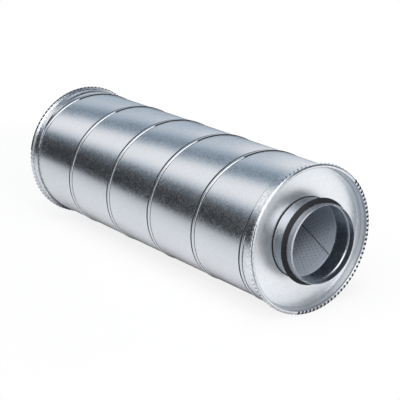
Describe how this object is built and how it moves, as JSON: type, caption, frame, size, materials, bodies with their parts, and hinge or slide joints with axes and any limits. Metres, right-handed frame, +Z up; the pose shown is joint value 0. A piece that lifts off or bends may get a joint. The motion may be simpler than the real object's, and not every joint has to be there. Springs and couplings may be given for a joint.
{
  "type": "duct sound attenuator",
  "caption": "Round duct silencer: spiral-seam steel casing with dished end caps and gasketed spigots, lined with a perforated tube and mineral wool to damp noise in a duct run.",
  "frame": {"origin": "centre of the silencer on the duct axis", "axes": "+X along the duct axis towards the front spigot, +Z up"},
  "size_m": [0.688, 0.235, 0.235],
  "materials": {
    "casing_steel": "hot-dip galvanised, satin",
    "cap_steel": "hot-dip galvanised, satin",
    "spigot_steel": "hot-dip galvanised, satin",
    "gasket_rubber": "matt black",
    "perforated_steel": "galvanised, dull",
    "fleece": "dark glass fleece",
    "wool": "mineral wool"
  },
  "bodies": {
    "root": {"outer_casing": "casing_steel", "front_end_cap": "cap_steel", "rear_end_cap": "cap_steel", "front_spigot": "spigot_steel", "rear_spigot": "spigot_steel", "front_gasket": "gasket_rubber", "rear_gasket": "gasket_rubber", "inner_tube": "perforated_steel", "fleece_wrap": "fleece", "mineral_wool": "wool"}
  },
  "joints": []
}
